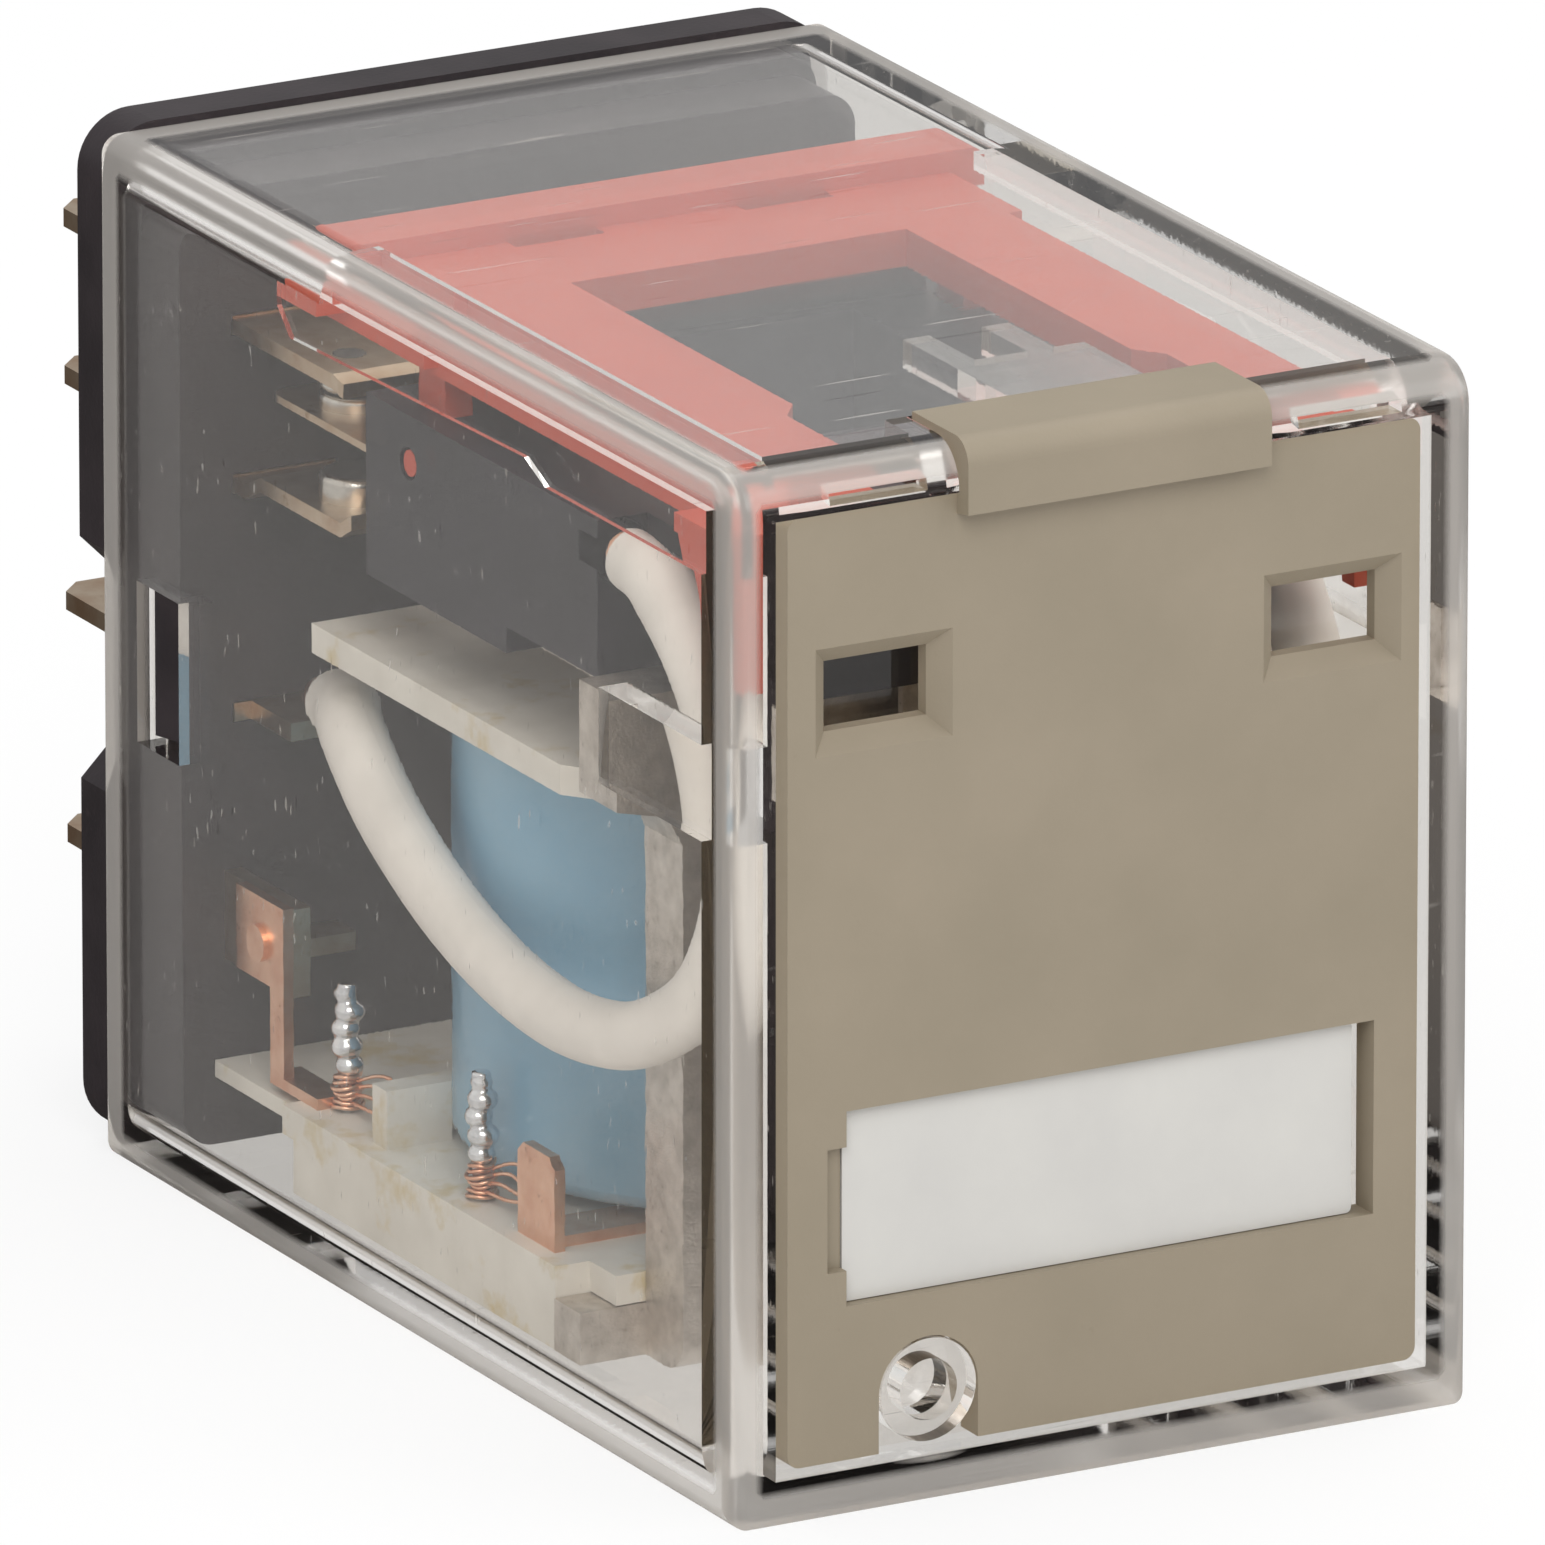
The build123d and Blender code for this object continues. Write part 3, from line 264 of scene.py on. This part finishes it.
# pins of the coil under solder, which set in smooth beads one above the other
solder = {"pinRadius": 0.28, "shaftShare": 0.9, "shaftShort": 0.02, "beadFlatness": 0.8, "lean": 0.05,
          "beads": [(1.25, 0.37), (1.75, 0.42), (2.25, 0.38), (2.72, 0.41), (3.18, 0.30)],
          "leanRate": 2.3, "leanStart": {"front": 0.0, "rear": 1.0}, "around": 24, "rings": 16,
          "voxel": 0.05, "meltStrength": 0.5, "meltRounds": 3}
pinLow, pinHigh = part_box("coil_pins")
pinTop = pinHigh.z - solder["shaftShort"] * mm
inset = solder["pinRadius"] * mm
pinPlaces = {"front": (pinLow.x + inset, pinLow.y + inset), "rear": (pinHigh.x - inset, pinHigh.y - inset)}
for end, (x, y) in pinPlaces.items():
    bpy.ops.object.select_all(action="DESELECT")
    bpy.ops.mesh.primitive_cylinder_add(vertices=solder["around"], radius=inset * solder["shaftShare"],
                                        depth=pinTop - pinLow.z, location=(x, y, (pinTop + pinLow.z) / 2))
    shaft = bpy.context.object
    lumps = [shaft]
    for step, (height, radius) in enumerate(solder["beads"]):  # height over the pin's foot, in mm
        lean = solder["lean"] * mm * math.sin(solder["leanRate"] * step + solder["leanStart"][end])
        bpy.ops.mesh.primitive_uv_sphere_add(segments=solder["around"], ring_count=solder["rings"],
                                             radius=radius * mm,
                                             location=(x + lean, y - lean, pinLow.z + height * mm))
        bpy.context.object.scale.z = solder["beadFlatness"]
        lumps.append(bpy.context.object)
    for lump in lumps:
        lump.select_set(True)
    bpy.context.view_layer.objects.active = shaft
    bpy.ops.object.transform_apply(location=False, rotation=False, scale=True)
    bpy.ops.object.join()
    fuse = shaft.modifiers.new("fuse", "REMESH")
    fuse.mode = "VOXEL"
    fuse.voxel_size = solder["voxel"] * mm
    bpy.ops.object.modifier_apply(modifier="fuse")
    melt = shaft.modifiers.new("melt", "SMOOTH")
    melt.factor = solder["meltStrength"]
    melt.iterations = solder["meltRounds"]
    bpy.ops.object.modifier_apply(modifier="melt")
    bpy.ops.object.shade_smooth()
    settle(shaft, "solderedPin_" + end, finishes["tinSolder"])
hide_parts("coil_pins")
print("soldered pins done")

# fine wire of the coil: uneven turns round the foot of each pin, and loose loops from there to the lead
wire = {"radius": 0.055, "wrapRadius": 0.36, "turns": 7, "perTurn": 8, "wrapStart": 0.06, "wrapHeight": 0.95,
        "ripple": 0.10, "rippleRate": 0.9, "swell": 0.16, "swellRate": 0.23, "jitter": 0.04,
        "jitterRate": 1.7, "loops": 4, "loopStart": 0.25, "loopStartStep": 0.14, "loopRise": 0.35,
        "loopStep": 0.28, "loopSway": 0.22, "loopBulge": (0.25, 0.45), "loopShares": (0.3, 0.65),
        "loopSag": 0.75, "loopEnd": 0.42, "endStep": 0.15,
        "reach": {"front": (0.25, -1.9), "rear": (0.1, -2.3)}}


def addStrand(curve, places):
    # one strand of wire through the places
    strand = curve.splines.new("NURBS")
    strand.points.add(len(places) - 1)
    for point, place in zip(strand.points, places):
        point.co = (*place, 1)
    strand.order_u = 3
    strand.use_endpoint_u = True


for end, (x, y) in pinPlaces.items():
    curve = bpy.data.curves.new("wrap_" + end, "CURVE")
    curve.dimensions = "3D"
    curve.bevel_depth = wire["radius"] * mm
    curve.bevel_resolution = 2
    curve.resolution_u = 6
    steps = wire["turns"] * wire["perTurn"]
    wound = []
    for step in range(steps + 1):
        angle = step * 2 * math.pi / wire["perTurn"]
        uneven = (wire["ripple"] * math.sin(step * wire["rippleRate"])
                  + wire["swell"] * math.sin(step * wire["swellRate"]))
        radius = wire["wrapRadius"] * (1 + uneven)
        height = (wire["wrapStart"] + wire["wrapHeight"] * step / steps
                  + wire["jitter"] * math.sin(step * wire["jitterRate"]))
        wound.append((x + radius * mm * math.cos(angle), y + radius * mm * math.sin(angle),
                      pinLow.z + height * mm))
    addStrand(curve, wound)
    reachX, reachY = wire["reach"][end]
    for loop in range(wire["loops"]):
        rise = wire["loopRise"] + wire["loopStep"] * loop
        sway = wire["loopSway"] * (loop - (wire["loops"] - 1) / 2)
        route = [(0.0, 0.0, wire["loopStart"] + wire["loopStartStep"] * loop),
                 (wire["loopBulge"][0] + sway, reachY * wire["loopShares"][0], rise),
                 (wire["loopBulge"][1] + sway, reachY * wire["loopShares"][1], rise * wire["loopSag"]),
                 (reachX + wire["endStep"] * loop, reachY, wire["loopEnd"])]
        addStrand(curve, [(x + side * mm, y + along * mm, pinLow.z + up * mm) for side, along, up in route])
    holder = bpy.data.objects.new("wrap_" + end, curve)
    bpy.context.scene.collection.objects.link(holder)
    bpy.ops.object.select_all(action="DESELECT")
    holder.select_set(True)
    bpy.context.view_layer.objects.active = holder
    bpy.ops.object.convert(target="MESH")
    bpy.ops.object.shade_smooth()
    settle(bpy.context.object, "coilWire_" + end, finishes["bareCopper"])
print("coil wire done")

# floor, world and lamps: a pale studio, white where it is seen directly or through the case
studio = {"floorSize": 3.0, "floorGlow": 0.8, "floorTone": "#F4F4F4", "floorInGloss": "#5C5855",
          "worldLevel": 0.42, "floorDrop": 0.00002, "lampAim": (0, 0, 0.014), "bounces": 24,
          "glossyBounces": 16}
bpy.ops.object.select_all(action="DESELECT")
bpy.ops.mesh.primitive_plane_add(size=studio["floorSize"], location=(0, 0, -studio["floorDrop"]))
floor = bpy.context.object
floor.name = "floor"
paleFloor = startMaterial("paleFloor")
path = addNode(paleFloor, "ShaderNodeLightPath")
glow = addNode(paleFloor, "ShaderNodeEmission", {"Color": (1, 1, 1, 1)})
tone = addNode(paleFloor, "ShaderNodeMix", {6: linearColour(studio["floorTone"]),
               7: linearColour(studio["floorInGloss"])}, {0: path.outputs["Is Glossy Ray"]}, data_type="RGBA")
matte = addNode(paleFloor, "ShaderNodeBsdfDiffuse", {}, {"Color": tone.outputs[2]})
seen = addNode(paleFloor, "ShaderNodeMath", {}, {0: path.outputs["Is Camera Ray"],
               1: path.outputs["Is Transmission Ray"]}, operation="MAXIMUM")
share = addNode(paleFloor, "ShaderNodeMath", {1: studio["floorGlow"]}, {0: seen.outputs[0]},
                operation="MULTIPLY")
surface = addNode(paleFloor, "ShaderNodeMixShader", {}, {0: share.outputs[0], 1: matte.outputs["BSDF"],
                  2: glow.outputs["Emission"]})
addNode(paleFloor, "ShaderNodeOutputMaterial", {}, {"Surface": surface.outputs["Shader"]})
floor.data.materials.append(paleFloor)

world = bpy.data.worlds.new("paleStudio")
bpy.context.scene.world = world
world.use_nodes = True
world.node_tree.nodes.clear()
path = addNode(world, "ShaderNodeLightPath")
seen = addNode(world, "ShaderNodeMath", {}, {0: path.outputs["Is Camera Ray"],
               1: path.outputs["Is Transmission Ray"]}, operation="MAXIMUM")
level = addNode(world, "ShaderNodeMath", {1: 1 - studio["worldLevel"], 2: studio["worldLevel"]},
                {0: seen.outputs[0]}, operation="MULTIPLY_ADD")
sky = addNode(world, "ShaderNodeBackground", {"Color": (1, 1, 1, 1)}, {"Strength": level.outputs[0]})
addNode(world, "ShaderNodeOutputWorld", {}, {"Surface": sky.outputs["Background"]})

lamps = {
    "keyLamp": {"place": (-0.30, -0.50, 0.50), "size": 0.45, "power": 2.8},
    "fillLamp": {"place": (0.5, -0.35, 0.35), "size": 0.5, "power": 1.2},
    "topLamp": {"place": (0.05, 0.15, 0.7), "size": 0.5, "power": 2.2},
}
for name, values in lamps.items():
    lamp = bpy.data.lights.new(name, "AREA")
    lamp.energy = values["power"]
    lamp.size = values["size"]
    holder = bpy.data.objects.new(name, lamp)
    bpy.context.scene.collection.objects.link(holder)
    holder.location = values["place"]
    aim = Vector(studio["lampAim"]) - holder.location
    holder.rotation_euler = aim.to_track_quat("-Z", "Y").to_euler()
rays = bpy.context.scene.cycles
rays.max_bounces = studio["bounces"]
rays.glossy_bounces = studio["glossyBounces"]
rays.transmission_bounces = studio["bounces"]
rays.transparent_max_bounces = studio["bounces"]
print("floor, world and lamps done")

# camera: a long lens, above and to the left of the front
view = {"azimuth": -28.609, "elevation": 17.958, "distance": 0.88833, "lens": 804.93,
        "target": (0, -0.0034, 0.014), "lower": 0.000403, "clipEnd": 20}
azimuth, elevation = math.radians(view["azimuth"]), math.radians(view["elevation"])
back = Vector((math.sin(azimuth) * math.cos(elevation), -math.cos(azimuth) * math.cos(elevation),
               math.sin(elevation)))
across = Vector((math.cos(azimuth), math.sin(azimuth), 0))
target = Vector(view["target"]) - back.cross(across) * view["lower"]
cameraData = bpy.data.cameras.new("camera")
cameraData.lens = view["lens"]
cameraData.clip_end = view["clipEnd"]
camera = bpy.data.objects.new("camera", cameraData)
bpy.context.scene.collection.objects.link(camera)
camera.location = target + back * view["distance"]
camera.rotation_euler = (-back).to_track_quat("-Z", "Y").to_euler()
bpy.context.scene.camera = camera
bpy.context.scene.view_settings.view_transform = "Standard"
